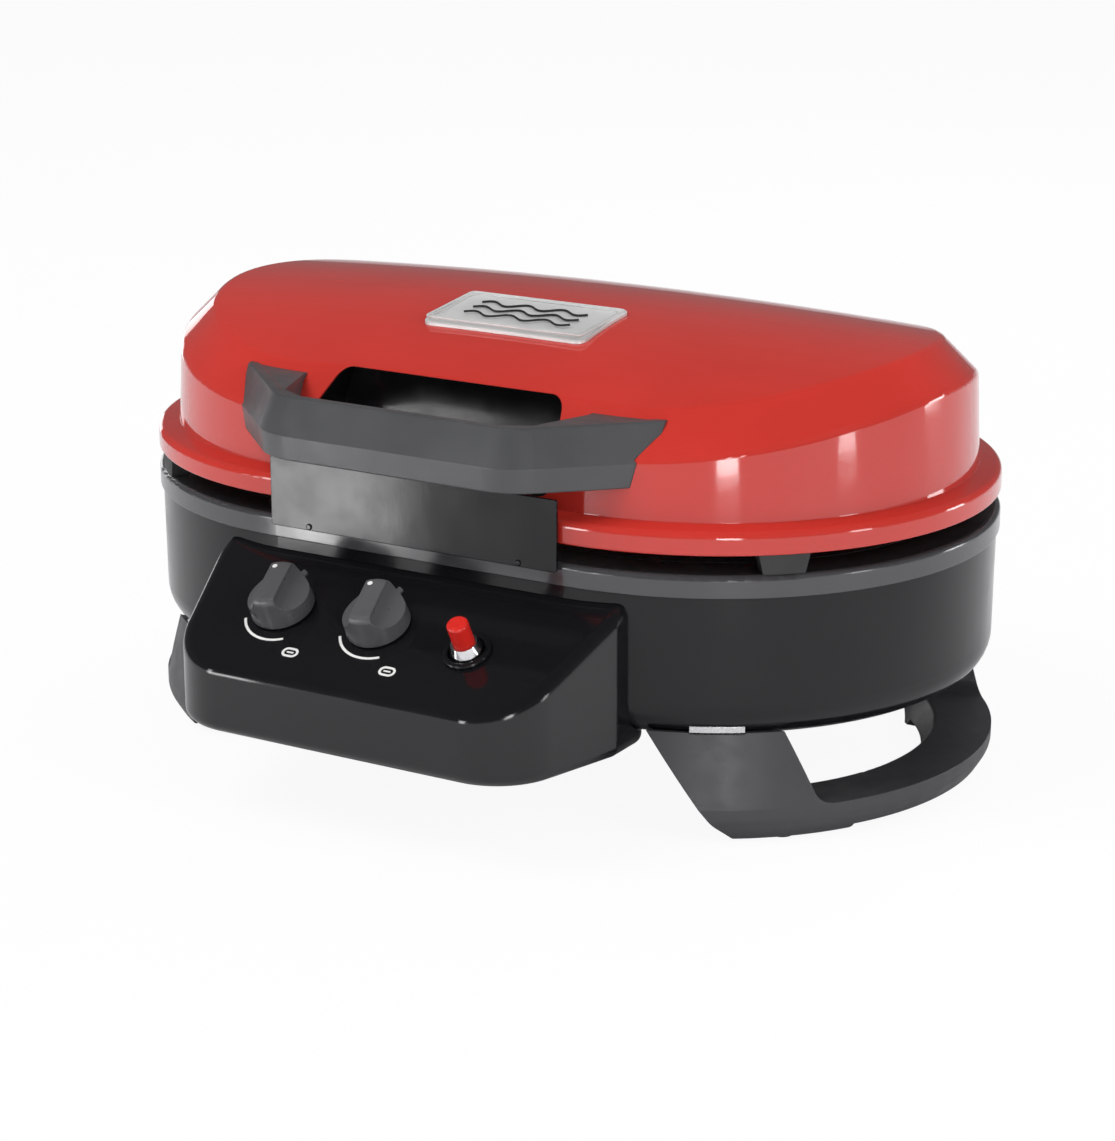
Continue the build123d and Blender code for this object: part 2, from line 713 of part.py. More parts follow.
def igniter_collar():
    cone = Pos(0, 0, 4.5) * Cone(11.7, 8.6, 9)
    return igniter_place * (cone - Pos(0, 0, 4.5) * Cylinder(BUTTON_R + GAP, 12))


def igniter_button():
    cap = Pos(0, 0, 11) * Cylinder(BUTTON_R, 30)
    cap = fillet(cap.edges().group_by(Axis.Z)[-1], 2.4)
    return igniter_place * (cap + Pos(0, 0, -13) * Cylinder(ROD_R, 18))


def ignition_wire():
    """Lead from the igniter's lower end to the electrode."""
    start = panel.from_local_coords(Vector(IGNITER_X, -IGNITER_DOWN, -40 - GAP))
    down = panel.z_dir * -1
    finish = (ELECTRODE_X, -206.2, BURNER_Z)
    path = Spline(
        start,
        start + down * 12,
        (36, -204.5, 88),
        (0, -204.5, 93),
        (-24, -208, 100),
        (ELECTRODE_X, -216, 108),
        finish,
        tangents=[down, (0, 1, 0)],
    )
    return tube(path, 1.3)


# ---- Knobs
def knob(side):
    """Round knob with a raised grip across it and scooped flanks."""
    height = KNOB_TOP - 1
    body = Pos(0, 0, 1 + height / 2) * Cone(KNOB_R, KNOB_R - 1.5, height)
    body = fillet(body.edges().group_by(Axis.Z)[-1], 4.5)
    body = fillet(body.edges().group_by(Axis.Z)[0], 0.8)
    scoops = []
    for sign in (-1, 1):
        scoops.append(Pos(sign * 21.0, 0, KNOB_TOP + 1) * Rot(90, 0, 0) * Cylinder(14, 80))
    body = body - scoops
    body = Rot(0, 0, GRIP_TURN) * body
    nub = Rot(0, 0, -13) * Pos(0, 22.5, 10) * Rot(90, 0, 0) * Cylinder(2.2, 6)
    body = body + nub - Pos(0, 0, 4) * Cylinder(STEM_R + 0.02, 16)
    body = body - knob_dot_form(0.02)
    return panel * Pos(KNOB_X[side], 0, 0) * body


def knob_dot_form(grow=0.0):
    place = Rot(0, 0, GRIP_TURN) * Pos(-3.6, 13.4, KNOB_TOP - 1.3)
    return place * Cylinder(1.7 + grow, 3 + grow)


def knob_dot(side):
    return panel * Pos(KNOB_X[side], 0, 0) * knob_dot_form()


def valve_stem(side):
    return panel * Pos(KNOB_X[side], 0, -8) * Cylinder(STEM_R, 38)


# ---- Legs
def leg(side):
    """One moulded end leg: a foot bar round the end, carried by a front and a rear arm."""
    toe = (187, LEG_LOW_Z)
    outer = (FLANGE_R, 14)
    shelf = (FLANGE_R - 24, FOOT_TOP_Z)
    inner = (LEG_INNER_R, FOOT_TOP_Z)
    skin = outline(
        [
            (LEG_INNER_LOW_R, LEG_LOW_Z),
            toe,
            outer,
            (FLANGE_R, FOOT_TOP_Z),
            (LEG_TOP_R, LEG_TOP_Z),
            (LEG_TOP_R - LEG_ARM - 10, LEG_TOP_Z),
            (LEG_TOP_R - LEG_ARM - 10, LEG_PAD_Z - 5),
            (LEG_TOP_R - LEG_ARM, LEG_PAD_Z - 8),
            shelf,
            inner,
        ],
        [(toe, 6.0), (outer, 10.0), (shelf, 6.0), (inner, 3.0)],
    )
    turned = revolve(Plane.YZ.offset(END_X) * skin, Axis((END_X, 0, 0), (0, 0, -1)), 180)
    heel = (214, LEG_LOW_Z)
    keep = outline([(157, 80), (340, 80), (340, -10), (214, -10), heel], [(heel, 18.0)])
    body = turned & along_y(keep, -260, 260)
    sill = (125.5, FOOT_TOP_Z)
    window = outline(
        [(-138, 80), (-sill[0], sill[1]), sill, (138, 80)],
        [((-sill[0], sill[1]), 10.0), (sill, 10.0)],
    )
    body = body - along_x(window, 120, 340)
    body = body - extrude(Pos(330, 0, -5) * Rectangle(300, 2 * 100), 10)
    body = body - bowl_space(0.3)
    for angle in PAD_ANGLES:
        body = body - Pos(*end_point(PAD_AT_R, angle, 0)) * Cylinder(PAD_R + GAP, 6)
    for angle in ARM_SCREW_ANGLES:
        body = body - bracket_form(angle, BRACKET_H + 0.3, GAP)
        body = body - Pos(*end_point(ARM_SCREW_AT_R, angle, LEG_PAD_Z)) * Cylinder(2.6, 30)
    if side == "left":
        body = mirror(body, Plane.YZ)
    return body


def bracket_form(angle, depth, grow=0.0):
    """A saddle under the bowl's lower edge, depth thick, at one arm of the right leg."""
    half = BRACKET_HALF + grow
    sector = Rot(0, 0, angle) * Pos(175, 0, LEG_PAD_Z) * Box(60, 2 * half, 40)
    ring = Cylinder(BRACKET_R + 4 * grow, 40) - Cylinder(LEG_TOP_R - LEG_ARM - 8, 40)
    zone = Pos(END_X, 0, 0) * ((Pos(0, 0, LEG_PAD_Z) * ring) & sector)
    return zone & bowl_space(depth)


def leg_brackets():
    """Steel saddles between the arms and the bowl; their outer lips show above the arms."""
    plates = []
    for angle in ARM_SCREW_ANGLES:
        plate = bracket_form(angle, BRACKET_H) - bowl_space(0.1)
        plates += both_sides(plate - Pos(*end_point(ARM_SCREW_AT_R, angle, LEG_PAD_Z)) * Cylinder(2.6, 20))
    return group(*plates)


def leg_screws():
    """Screws up through the arms' top pads; their heads are under the arm's shelf."""
    screws = []
    for angle in ARM_SCREW_ANGLES:
        foot = end_point(ARM_SCREW_AT_R, angle, LEG_PAD_Z - 12)
        screws += both_sides(rod(foot, (0, 0, 1), 2.5, 13.5))
    return group(*screws)


def foot_pads():
    pads = []
    for angle in PAD_ANGLES:
        pads += both_sides(rod(end_point(PAD_AT_R, angle, 0), (0, 0, 1), PAD_R, 3 - GAP))
    return group(*pads)


# ---- Hinges
def hinge_plate(z_low, z_high):
    """The flat of a hinge leaf, lying on the body's back face."""
    back = FLANGE_R + GAP
    face = outline([(back, z_low), (back + 2, z_low), (back + 2, z_high), (back, z_high)])
    return along_x(face, HINGE_X - 20, HINGE_X + 20)


def hinge_bore(radius):
    return rod((HINGE_X - 30, HINGE_Y, HINGE_Z), (1, 0, 0), radius, 60)


def hinge_lower_leaf():
    back = FLANGE_R + GAP
    near = [(back, 166), (back + 2, 166), (HINGE_Y + 3, 180.5)]
    far = [(HINGE_Y, HINGE_Z), (199, HINGE_Z), (back, 179)]
    leaf = hinge_plate(164, 179)
    for low, high in ((-20, -8), (8, 20)):
        leaf = leaf + along_x(outline(near + far), HINGE_X + low, HINGE_X + high)
        leaf = leaf + rod((HINGE_X + low, HINGE_Y, HINGE_Z), (1, 0, 0), KNUCKLE_R, high - low)
    return leaf - hinge_bore(PIN_R + RUNNING) - rivet_holes(hinge_rivet_spots(HINGE_BASE_RIVET_Z))


def hinge_upper_leaf():
    back = FLANGE_R + GAP
    half = 7.7
    near = [(back, 201.5), (back + 2, 201.5), (HINGE_Y + 4, 187.5)]
    far = [(HINGE_Y, HINGE_Z), (199.5, 187.5), (back, 193)]
    leaf = hinge_plate(192.5, 203.5) + along_x(outline(near + far), HINGE_X - half, HINGE_X + half)
    leaf = leaf + rod((HINGE_X - half, HINGE_Y, HINGE_Z), (1, 0, 0), KNUCKLE_R, 2 * half)
    return leaf - hinge_bore(PIN_R) - rivet_holes(hinge_rivet_spots(HINGE_LID_RIVET_Z))


def hinge_pin():
    shank = rod((HINGE_X - 21.5, HINGE_Y, HINGE_Z), (1, 0, 0), PIN_R, 43)
    head = rod((HINGE_X + 20.3, HINGE_Y, HINGE_Z), (1, 0, 0), 4.0, 1.5)
    return shank + head


# ---- The assembly, one file per node
nodes = {
    "fire_bowl": fire_bowl(),
    "grate_ring": grate_ring(),
    "lid_rest_blocks": lid_rest_blocks(),
    "front_guard": front_guard(),
    "burner_left": burner("left"),
    "burner_right": burner("right"),
    "burner_straps": burner_straps(),
    "drip_pan": drip_pan(),
    "electrode": electrode(),
    "control_box": control_box(),
    "control_box_cover": control_box_cover(),
    "cover_screws": cover_screws(),
    "panel_marks": panel_marks(),
    "valve_left": valve("left"),
    "valve_right": valve("right"),
    "gas_manifold": gas_manifold(),
    "gas_inlet_fitting": gas_inlet_fitting(),
    "igniter_body": igniter_body(),
    "igniter_bezel": igniter_bezel(),
    "igniter_collar": igniter_collar(),
    "ignition_wire": ignition_wire(),
    "leg_left": leg("left"),
    "leg_right": leg("right"),
    "leg_brackets": leg_brackets(),
    "leg_screws": leg_screws(),
    "foot_pads": foot_pads(),
    "hinge_lower_leaves": group(*both_sides(hinge_lower_leaf())),
    "hinge_rivets_base": group(*[rivet(*spot) for spot in hinge_rivet_spots(HINGE_BASE_RIVET_Z)]),
    "guard_rivets": group(*[rivet(*spot, GUARD_RIVET_R) for spot in guard_rivet_spots()]),
    "lid_shell": lid_shell(),
    "lid_recess_pan": lid_recess_pan(),
    "lid_handle": lid_handle(),
    "handle_screws": handle_screws(),
    "nameplate": nameplate(),
    "nameplate_pins": group(nameplate_pins()),
    "hinge_upper_leaves": group(*both_sides(hinge_upper_leaf())),
    "hinge_pins": group(*both_sides(hinge_pin())),
    "hinge_rivets_lid": group(*[rivet(*spot) for spot in hinge_rivet_spots(HINGE_LID_RIVET_Z)]),
    "knob_left": knob("left"),
    "knob_dot_left": knob_dot("left"),
    "valve_stem_left": valve_stem("left"),
    "knob_right": knob("right"),
    "knob_dot_right": knob_dot("right"),
    "valve_stem_right": valve_stem("right"),
    "igniter_button": igniter_button(),
    "grate_left": grate("left"),
    "grate_right": grate("right"),
}

os.makedirs("parts", exist_ok=True)
for name, shape in nodes.items():
    export_step(shape, "parts/" + name + ".step")
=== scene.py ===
import json
from math import cos, pi, radians, sin

import bpy
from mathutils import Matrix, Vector


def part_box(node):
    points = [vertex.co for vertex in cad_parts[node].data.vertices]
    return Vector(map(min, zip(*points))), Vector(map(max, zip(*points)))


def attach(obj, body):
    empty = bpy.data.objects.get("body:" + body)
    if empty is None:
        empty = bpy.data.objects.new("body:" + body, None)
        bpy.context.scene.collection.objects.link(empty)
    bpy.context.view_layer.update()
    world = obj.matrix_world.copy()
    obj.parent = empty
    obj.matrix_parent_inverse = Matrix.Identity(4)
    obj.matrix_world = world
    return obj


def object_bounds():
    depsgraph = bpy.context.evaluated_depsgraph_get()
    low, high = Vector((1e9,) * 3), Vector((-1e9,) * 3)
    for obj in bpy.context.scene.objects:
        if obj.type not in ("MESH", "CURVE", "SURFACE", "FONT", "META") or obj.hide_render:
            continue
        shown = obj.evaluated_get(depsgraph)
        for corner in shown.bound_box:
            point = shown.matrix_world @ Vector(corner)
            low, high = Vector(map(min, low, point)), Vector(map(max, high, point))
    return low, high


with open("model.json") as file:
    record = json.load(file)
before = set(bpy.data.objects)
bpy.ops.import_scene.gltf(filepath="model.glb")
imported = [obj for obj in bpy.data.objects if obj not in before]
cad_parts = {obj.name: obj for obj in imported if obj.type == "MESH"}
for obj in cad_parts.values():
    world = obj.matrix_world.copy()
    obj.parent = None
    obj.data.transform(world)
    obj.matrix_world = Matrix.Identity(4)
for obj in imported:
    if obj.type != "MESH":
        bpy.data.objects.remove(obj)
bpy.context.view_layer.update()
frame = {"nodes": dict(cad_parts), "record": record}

# Looks for the portable tabletop grill.  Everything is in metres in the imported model's frame.
MM = 0.001
nodes = frame["nodes"]


# ---- Material building blocks
class Finish:
    """A node-based material: builds the shader a layer at a time."""

    def __init__(self, name):
        self.material = bpy.data.materials.new(name)
        self.material.use_nodes = True
        self.tree = self.material.node_tree
        self.shader = self.tree.nodes["Principled BSDF"]
        self.place = self.node("ShaderNodeTexCoord").outputs["Object"]

    def node(self, kind, **values):
        made = self.tree.nodes.new(kind)
        for key, value in values.items():
            setattr(made, key, value)
        return made

    def link(self, out, into):
        self.tree.links.new(out, into)

    def set(self, **values):
        for key, value in values.items():
            self.shader.inputs[key.replace("_", " ")].default_value = value

    def stretched(self, factors):
        """Coordinates scaled by a different factor on each axis, for grain with a direction."""
        mapping = self.node("ShaderNodeMapping")
        mapping.inputs["Scale"].default_value = factors
        self.link(self.place, mapping.inputs["Vector"])
        return mapping.outputs["Vector"]

    def noise(self, scale, detail=2.0, place=None):
        made = self.node("ShaderNodeTexNoise")
        made.inputs["Scale"].default_value = scale
        made.inputs["Detail"].default_value = detail
        self.link(place or self.place, made.inputs["Vector"])
        return made.outputs["Fac"]

    def span(self, value, low, high, from_low=0.3, from_high=0.7):
        """Maps a 0..1 value to low..high."""
        made = self.node("ShaderNodeMapRange")
        made.inputs["From Min"].default_value = from_low
        made.inputs["From Max"].default_value = from_high
        made.inputs["To Min"].default_value = low
        made.inputs["To Max"].default_value = high
        self.link(value, made.inputs["Value"])
        return made.outputs["Result"]

    def mix(self, share, first, second):
        """Mixes two colours; each is a tuple or a socket."""
        made = self.node("ShaderNodeMix", data_type="RGBA")
        self.link(share, made.inputs["Factor"])
        for socket, colour in (("A", first), ("B", second)):
            target = [i for i in made.inputs if i.name == socket and i.type == "RGBA"][0]
            if isinstance(colour, tuple):
                target.default_value = (*colour, 1.0)
            else:
                self.link(colour, target)
        return [o for o in made.outputs if o.type == "RGBA"][0]

    def edge_mask(self, radius):
        """1 near a sharp edge and 0 on the flats, with the rounded normal that goes with it."""
        bevel = self.node("ShaderNodeBevel", samples=4)
        bevel.inputs["Radius"].default_value = radius
        geometry = self.node("ShaderNodeNewGeometry")
        dot = self.node("ShaderNodeVectorMath", operation="DOT_PRODUCT")
        self.link(bevel.outputs["Normal"], dot.inputs[0])
        self.link(geometry.outputs["Normal"], dot.inputs[1])
        mask = self.span(dot.outputs["Value"], 1.0, 0.0, 0.80, 0.97)
        return mask, bevel.outputs["Normal"]

    def bumped(self, layers, normal=None):
        """Stacks bump layers of (height socket, depth in metres)."""
        for height, depth in layers:
            bump = self.node("ShaderNodeBump")
            bump.inputs["Strength"].default_value = 1.0
            bump.inputs["Distance"].default_value = depth
            self.link(height, bump.inputs["Height"])
            if normal is not None:
                self.link(normal, bump.inputs["Normal"])
            normal = bump.outputs["Normal"]
        self.link(normal, self.shader.inputs["Normal"])


def tint(colour, factor):
    return tuple(min(1.0, c * factor) for c in colour)


def enamel_layers(name, colour, roughness=0.10, peel=0.000012, edge=0.0009, coat=0.0, shine=0.5):
    """Gloss enamel on pressed steel: orange peel, faint cloudiness, darker at edges: thinner enamel on
    sharp edges, painted shade in creases.
    """
    made = Finish(name)
    cloud = made.span(made.noise(9.0, 3.0), 0.0, 1.0)
    base = made.mix(cloud, tint(colour, 0.94), tint(colour, 1.05))
    mask, rounded = made.edge_mask(edge)
    # Painted shade: darkens the creases the edge mask finds, and also the sharp edges for thinner
    # enamel.
    edge_dark_share = made.span(mask, 0.0, 0.35, 0.0, 1.0)
    thin_edge_and_crease_shade = made.mix(edge_dark_share, base, tint(colour, 0.72))
    made.link(thin_edge_and_crease_shade, made.shader.inputs["Base Color"])
    smear = made.noise(34.0, 4.0)
    made.link(made.span(smear, roughness * 0.75, roughness * 1.5), made.shader.inputs["Roughness"])
    made.bumped([(made.noise(420.0, 1.0), peel), (made.noise(60.0, 1.0), peel * 2.5)], rounded)
    made.set(Coat_Weight=coat, Coat_Roughness=0.03, Specular_IOR_Level=shine)
    return made, thin_edge_and_crease_shade


def enamel(name, colour, *values, **named):
    """The same enamel, as a finished material."""
    return enamel_layers(name, colour, *values, **named)[0].material


def banded_enamel(name, colour, band_colour, band_low, roughness):
    """Enamel that is paler and shinier on the rim, above band_low, than on the wall below it."""
    made, below = enamel_layers(name, colour, roughness)
    height = made.node("ShaderNodeSeparateXYZ")
    made.link(made.place, height.inputs[0])
    above = made.span(height.outputs["Z"], 0.0, 1.0, band_low, band_low + 0.5 * MM)
    made.link(made.mix(above, below, band_colour), made.shader.inputs["Base Color"])
    made.link(made.span(above, 0.36, 0.75, 0.0, 1.0), made.shader.inputs["Specular IOR Level"])
    return made.material


def moulded(name, colour, roughness=0.45, grain=0.00004, scale=1900.0, edge=0.0009):
    """Moulded plastic: fine spark-eroded grain, slight flow cloudiness, paler edges in patches: painted
    highlight, partly rubbed wear.
    """
    made = Finish(name)
    cloud = made.span(made.noise(14.0, 4.0), 0.0, 1.0)
    base = made.mix(cloud, tint(colour, 0.88), tint(colour, 1.12))
    mask, rounded = made.edge_mask(edge)
    # Painted highlight: edges and creases made paler in patches, partly standing for rubbed wear.
    edge_highlight_and_rub = made.node("ShaderNodeMath", operation="MULTIPLY")
    made.link(mask, edge_highlight_and_rub.inputs[0])
    made.link(made.span(made.noise(160.0, 3.0), 0.1, 0.6), edge_highlight_and_rub.inputs[1])
    made.link(made.mix(edge_highlight_and_rub.outputs[0], base, tint(colour, 1.9)), made.shader.inputs["Base Color"])
    made.link(made.span(made.noise(70.0, 3.0), roughness * 0.85, roughness * 1.15),
              made.shader.inputs["Roughness"])
    made.bumped([(made.noise(scale, 2.0), grain), (made.noise(45.0, 1.0), 0.00006)], rounded)
    return made.material


def metal(name, colour, roughness=0.3, brush=(1.0, 1.0, 1.0), scale=600.0, depth=0.00001, bare=1.0):
    """Bare or plated metal; unequal brush factors draw the grain out along one axis."""
    made = Finish(name)
    lines = made.noise(scale, 3.0, made.stretched(brush))
    cloud = made.span(made.noise(20.0, 3.0), 0.0, 1.0)
    made.link(made.mix(cloud, tint(colour, 0.86), tint(colour, 1.08)), made.shader.inputs["Base Color"])
    made.link(made.span(lines, roughness * 0.7, roughness * 1.3), made.shader.inputs["Roughness"])
    made.bumped([(lines, depth)], made.edge_mask(0.4 * MM)[1])
    made.set(Metallic=bare)
    return made.material


def rough_cast(name, colour):
    """Porcelain-coated cast iron: pebbled surface, half-gloss."""
    made = Finish(name)
    spots = made.span(made.noise(300.0, 4.0), 0.0, 1.0)
    made.link(made.mix(spots, tint(colour, 0.8), tint(colour, 1.5)), made.shader.inputs["Base Color"])
    made.link(made.span(made.noise(110.0, 2.0), 0.32, 0.5), made.shader.inputs["Roughness"])
    made.bumped([(made.noise(700.0, 2.0), 0.00025), (made.noise(150.0, 2.0), 0.0003)],
                made.edge_mask(0.0012)[1])
    return made.material


materials = {
    "red_enamel": enamel("red_enamel", (0.55, 0.035, 0.025), 0.07, 0.000008, coat=0.4),
    "black_enamel": enamel("black_enamel", (0.006, 0.006, 0.007), 0.14, shine=0.36),
    "dark_enamel": enamel("dark_enamel", (0.016, 0.016, 0.017), 0.35),
    "black_gloss_plastic": enamel("black_gloss_plastic", (0.007, 0.007, 0.008), 0.09, 0.000006, 0.0015),
    "black_plastic": moulded("black_plastic", (0.02, 0.02, 0.02), 0.55),
    "handle_grey": moulded("handle_grey", (0.066, 0.067, 0.070), 0.38),
    "leg_grey": moulded("leg_grey", (0.045, 0.045, 0.048), 0.42),
    "knob_grey": moulded("knob_grey", (0.090, 0.090, 0.093), 0.30, 0.00002, 1600.0, 0.0007),
    "white_print": moulded("white_print", (0.80, 0.80, 0.78), 0.5, 0.00001, 900.0, 0.0001),
    "steel": metal("steel", (0.60, 0.60, 0.61), 0.28),
    "pan_aluminium": metal("pan_aluminium", (0.78, 0.78, 0.79), 0.32, (1.0, 8.0, 8.0)),
    "cast_iron": rough_cast("cast_iron", (0.022, 0.022, 0.023)),
    "brass": metal("brass", (0.72, 0.50, 0.22), 0.25),
    "plate_aluminium": metal("plate_aluminium", (0.86, 0.86, 0.85), 0.45, (1.0, 30.0, 30.0), 220.0,
                             bare=0.45),
    "red_button": moulded("red_button", (0.74, 0.025, 0.018), 0.16, 0.000004, 900.0, 0.0006),
    "chrome": metal("chrome", (0.82, 0.82, 0.83), 0.12, (1.0, 1.0, 1.0), 300.0, 0.000002),
    "rubber": moulded("rubber", (0.02, 0.02, 0.02), 0.7, 0.00008, 900.0),
    "ceramic": moulded("ceramic", (0.82, 0.80, 0.74), 0.22, 0.00001, 500.0),
}

RIM_BAND = 14.5 * MM             # height of the bowl's rim band
bowl_enamel = banded_enamel(
    "bowl_enamel",
    (0.006, 0.006, 0.007),
    (0.050, 0.050, 0.053),
    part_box("fire_bowl")[1][2] - RIM_BAND,
    roughness=0.14,
)

slot_of = {part["node"]: part["material_slot"] for part in frame["record"]["subparts"]}


def dress_cad_nodes():
    """Every CAD node takes the finish of its slot; the bowl's has its rim band as well."""
    for name, obj in nodes.items():
        obj.data.materials.clear()
        obj.data.materials.append(bowl_enamel if name == "fire_bowl" else materials[slot_of[name]])
        for polygon in obj.data.polygons:
            polygon.material_index = 0


dress_cad_nodes()


# ---- Nameplate relief: a raised border and plain wavy strokes, without lettering
CORNER_STEPS = 8
WAVE_STEPS = 60
WAVES = 3
WAVE_WIDTH = 0.66                # these three are shares of the plate's half sizes
WAVE_PITCH = 0.36
WAVE_HEIGHT = 0.11


def plate_frame():
    """The plate's outward direction, the way up its slope, and the middle of its outer face."""
    mesh = nodes["nameplate"].data
    outer = max(mesh.polygons, key=lambda face: (round(face.normal.z, 2), -face.normal.y))
    outward = outer.normal.copy()
    up = outward.cross(Vector((1, 0, 0)))
    low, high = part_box("nameplate")
    middle = (Vector(low) + Vector(high)) / 2
    level = max(vertex.co.dot(outward) for vertex in mesh.vertices)
    return outward, up, middle + outward * (level - middle.dot(outward))


def relief_line(name, points, closed, width, material):
    """A rounded strip lying on the plate through the points, given as (across, up the slope)."""
    outward, up, middle = plate_frame()
    curve = bpy.data.curves.new(name, "CURVE")
    curve.dimensions = "3D"
    curve.bevel_depth = width / 2
    curve.bevel_resolution = 3
    line = curve.splines.new("POLY")
    line.points.add(len(points) - 1)
    for spot, (across, rise) in zip(line.points, points):
        place = middle + Vector((across, 0, 0)) + up * rise
        spot.co = (*place, 1.0)
    line.use_cyclic_u = closed
    curve.materials.append(materials[material])
    obj = bpy.data.objects.new(name, curve)
    bpy.context.scene.collection.objects.link(obj)
    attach(obj, "lid")


def rounded_frame(half_width, half_height, corner):
    """Points round a rectangle with rounded corners."""
    points = []
    for quarter, (side, end) in enumerate(((1, 1), (-1, 1), (-1, -1), (1, -1))):
        for step in range(CORNER_STEPS + 1):
            turn = (quarter + step / CORNER_STEPS) * pi / 2
            points.append((side * (half_width - corner) + corner * cos(turn),
                           end * (half_height - corner) + corner * sin(turn)))
    return points


def wavy_stroke(half_width, half_height, row):
    """Points along one of the plate's three wavy strokes."""
    points = []
    for step in range(WAVE_STEPS + 1):
        share = step / WAVE_STEPS
        across = (2 * share - 1) * half_width * WAVE_WIDTH
        rise = row * half_height * WAVE_PITCH + half_height * WAVE_HEIGHT * sin(share * WAVES * 2 * pi)
        points.append((across, rise))
    return points


def nameplate_relief():
    """The border, an inner line and three strokes, fitted to the plate's own size."""
    up = plate_frame()[1]
    spans = [vertex.co.dot(up) for vertex in nodes["nameplate"].data.vertices]
    half_height = (max(spans) - min(spans)) / 2
    low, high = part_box("nameplate")
    half_width = (high[0] - low[0]) / 2
    for name, inset, width in (("plate_border", 2.2, 1.6), ("plate_inner_line", 5.2, 0.7)):
        frame_line = rounded_frame(half_width - inset * MM, half_height - inset * MM, 4.0 * MM)
        relief_line(name, frame_line, True, width * MM, "plate_aluminium")
    for letter, row in (("a", -1), ("b", 0), ("c", 1)):
        stroke = wavy_stroke(half_width, half_height, row)
        relief_line("plate_wave_" + letter, stroke, False, 1.5 * MM, "black_plastic")


nameplate_relief()


# ---- Stage: floor, light and camera
WORLD_LIGHT = 0.80
WORLD_REFLECTED = 0.16
FLOOR_SIZE = 24.0
FLOOR_LIFT = 0.93                # share of plain white added where the camera sees the floor
MIDDLE = (0, 0, 0.18)
CAMERA_AZIMUTH = 30.8
CAMERA_ELEVATION = radians(16.8)
CAMERA_DISTANCE = 2.164
CAMERA_TARGET = Vector((-0.008, -0.003, 0.106))
CAMERA_LENS = 97.4
STRIP_DISTANCE = 1.65
STRIP_TALL = 0.44
STRIP_Z = 0.22


def look_at(obj, target):
    obj.rotation_euler = (Vector(target) - obj.location).to_track_quat("-Z", "Y").to_euler()


def round_about(azimuth, distance, height):
    """A place at this angle from the front, counted towards the right end."""
    turn = radians(azimuth)
    return (distance * sin(turn), -distance * cos(turn), height)


def soft_box(name, place, target, width, height, power, reflected=False):
    """A rectangular lamp; it either lights the scene or is only seen in glossy surfaces."""
    data = bpy.data.lights.new(name, "AREA")
    data.shape = "RECTANGLE"
    data.size = width
    data.size_y = height
    data.energy = power
    obj = bpy.data.objects.new(name, data)
    obj.location = place
    look_at(obj, target)
    obj.visible_camera = False
    obj.visible_glossy = reflected
    obj.visible_diffuse = not reflected
    bpy.context.scene.collection.objects.link(obj)


def studio_world():
    """White to the camera, bright for diffuse light, and dimmer in reflections."""
    world = bpy.data.worlds.new("studio")
    world.use_nodes = True
    tree = world.node_tree
    tree.nodes.clear()
    coord = tree.nodes.new("ShaderNodeTexCoord")
    split = tree.nodes.new("ShaderNodeSeparateXYZ")
    ramp = tree.nodes.new("ShaderNodeValToRGB")
    ramp.color_ramp.elements[0].position = 0.0
    ramp.color_ramp.elements[0].color = (0.95, 0.95, 0.97, 1.0)
    ramp.color_ramp.elements[1].position = 0.9
    ramp.color_ramp.elements[1].color = (0.45, 0.45, 0.46, 1.0)
    seen = tree.nodes.new("ShaderNodeBackground")
    lit = tree.nodes.new("ShaderNodeBackground")
    rays = tree.nodes.new("ShaderNodeLightPath")
    strength = tree.nodes.new("ShaderNodeMapRange")
    strength.inputs["To Min"].default_value = WORLD_LIGHT
    strength.inputs["To Max"].default_value = WORLD_REFLECTED
    pick = tree.nodes.new("ShaderNodeMixShader")
    out = tree.nodes.new("ShaderNodeOutputWorld")
    seen.inputs["Color"].default_value = (1.0, 1.0, 1.0, 1.0)
    tree.links.new(coord.outputs["Generated"], split.inputs[0])
    tree.links.new(split.outputs["Z"], ramp.inputs["Fac"])
    tree.links.new(ramp.outputs["Color"], lit.inputs["Color"])
    tree.links.new(rays.outputs["Is Glossy Ray"], strength.inputs["Value"])
    tree.links.new(strength.outputs["Result"], lit.inputs["Strength"])
    tree.links.new(rays.outputs["Is Camera Ray"], pick.inputs["Fac"])
    tree.links.new(lit.outputs[0], pick.inputs[1])
    tree.links.new(seen.outputs[0], pick.inputs[2])
    tree.links.new(pick.outputs[0], out.inputs["Surface"])
    bpy.context.scene.world = world


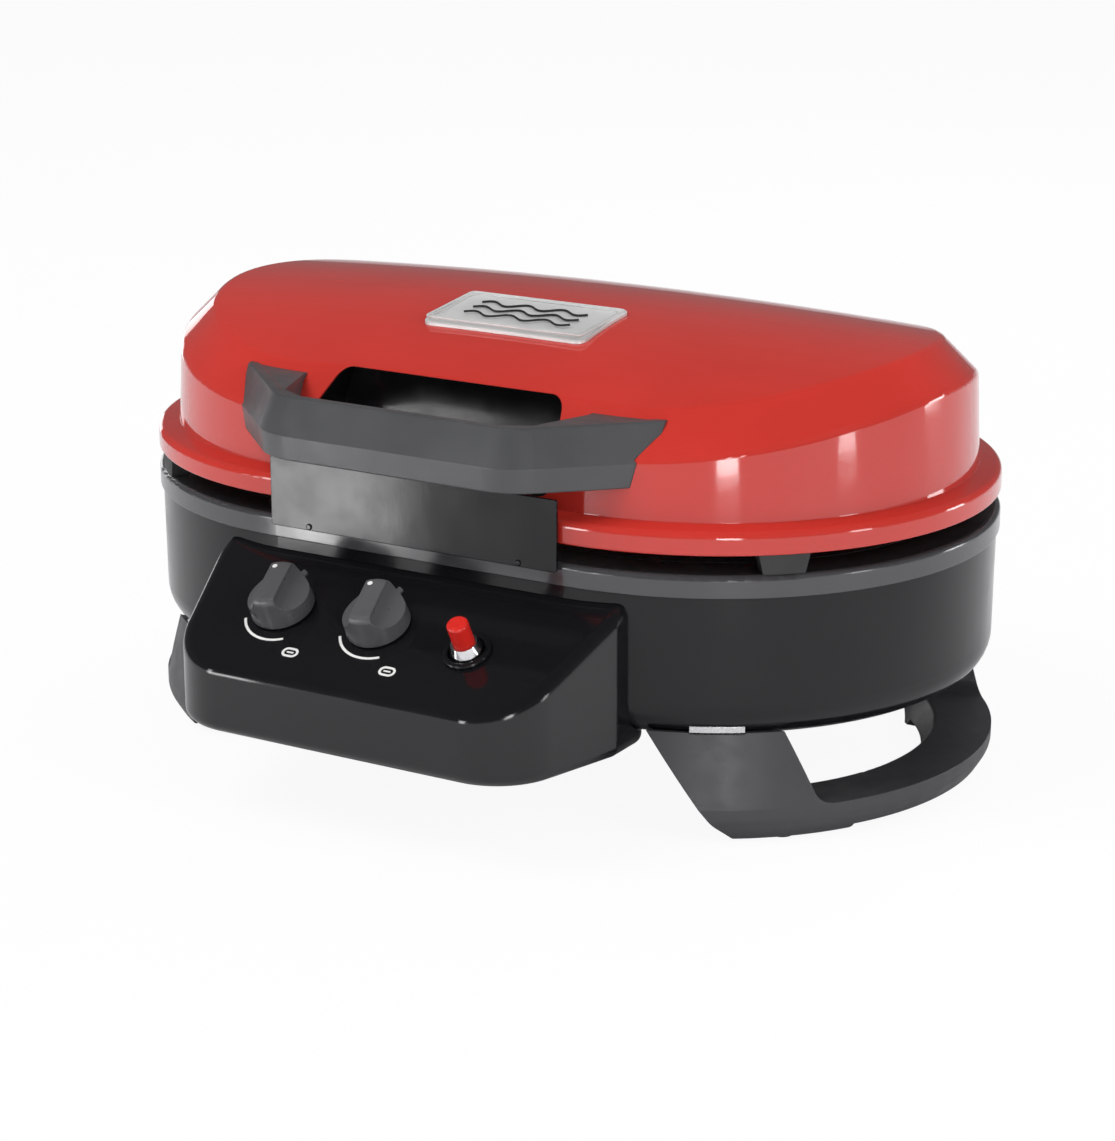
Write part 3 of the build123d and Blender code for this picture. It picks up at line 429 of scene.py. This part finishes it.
def pale_floor():
    """A wide floor with a faint mottled tone, lifted towards white where the camera sees it."""
    bpy.ops.mesh.primitive_grid_add(x_subdivisions=8, y_subdivisions=8, size=FLOOR_SIZE)
    floor = bpy.context.object
    floor.name = "floor"
    made = Finish("floor_paper")
    tone = made.span(made.noise(3.0, 2.0), 0.0, 1.0)
    made.link(made.mix(tone, (0.86, 0.86, 0.87), (0.90, 0.90, 0.91)), made.shader.inputs["Base Color"])
    made.set(Roughness=0.9, Specular_IOR_Level=0.1)
    glow = made.node("ShaderNodeEmission")
    rays = made.node("ShaderNodeLightPath")
    share = made.span(rays.outputs["Is Camera Ray"], 0.0, FLOOR_LIFT, 0.0, 1.0)
    pick = made.node("ShaderNodeMixShader")
    made.link(share, pick.inputs["Fac"])
    made.link(made.shader.outputs[0], pick.inputs[1])
    made.link(glow.outputs[0], pick.inputs[2])
    made.link(pick.outputs[0], made.tree.nodes["Material Output"].inputs["Surface"])
    floor.data.materials.append(made.material)
    floor.location.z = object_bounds()[0].z


def camera():
    """Right of the front and a little above, with a long lens."""
    reach = CAMERA_DISTANCE * cos(CAMERA_ELEVATION)
    height = CAMERA_DISTANCE * sin(CAMERA_ELEVATION)
    data = bpy.data.cameras.new("camera")
    data.sensor_width = 36.0
    data.lens = CAMERA_LENS
    obj = bpy.data.objects.new("camera", data)
    obj.location = CAMERA_TARGET + Vector(round_about(CAMERA_AZIMUTH, reach, height))
    look_at(obj, CAMERA_TARGET)
    bpy.context.scene.collection.objects.link(obj)
    bpy.context.scene.camera = obj


studio_world()
pale_floor()
soft_box("key", (-1.1, -1.6, 2.6), MIDDLE, 1.6, 1.6, 54)
soft_box("fill_right", (2.0, -0.5, 1.3), MIDDLE, 1.0, 1.0, 17)
soft_box("back", (0.2, 2.4, 1.8), MIDDLE, 2.4, 1.0, 20)
for strip, azimuth, width, power in (
    ("strip_front_left", -37, 0.14, 1.4),
    ("strip_front", -16, 0.20, 3.1),
    ("strip_right", 38, 0.24, 4.4),
    ("strip_side", 84, 0.22, 2.4),
    ("strip_rear_right", 128, 0.30, 3.5),
    ("strip_rear_left", -118, 0.40, 1.0),
):
    place = round_about(azimuth, STRIP_DISTANCE, STRIP_Z)
    soft_box(strip, place, (0, 0, STRIP_Z), width, STRIP_TALL, power, reflected=True)
guard_x, guard_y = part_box("front_guard")[0][:2]
card_place = (guard_x - 0.28, guard_y - 0.45, 0.045)
card_target = (guard_x + 0.04, guard_y, 0.19)
soft_box("guard_card", card_place, card_target, 0.13, 0.09, 0.36, reflected=True)
camera()
bpy.context.scene.view_settings.view_transform = "Standard"
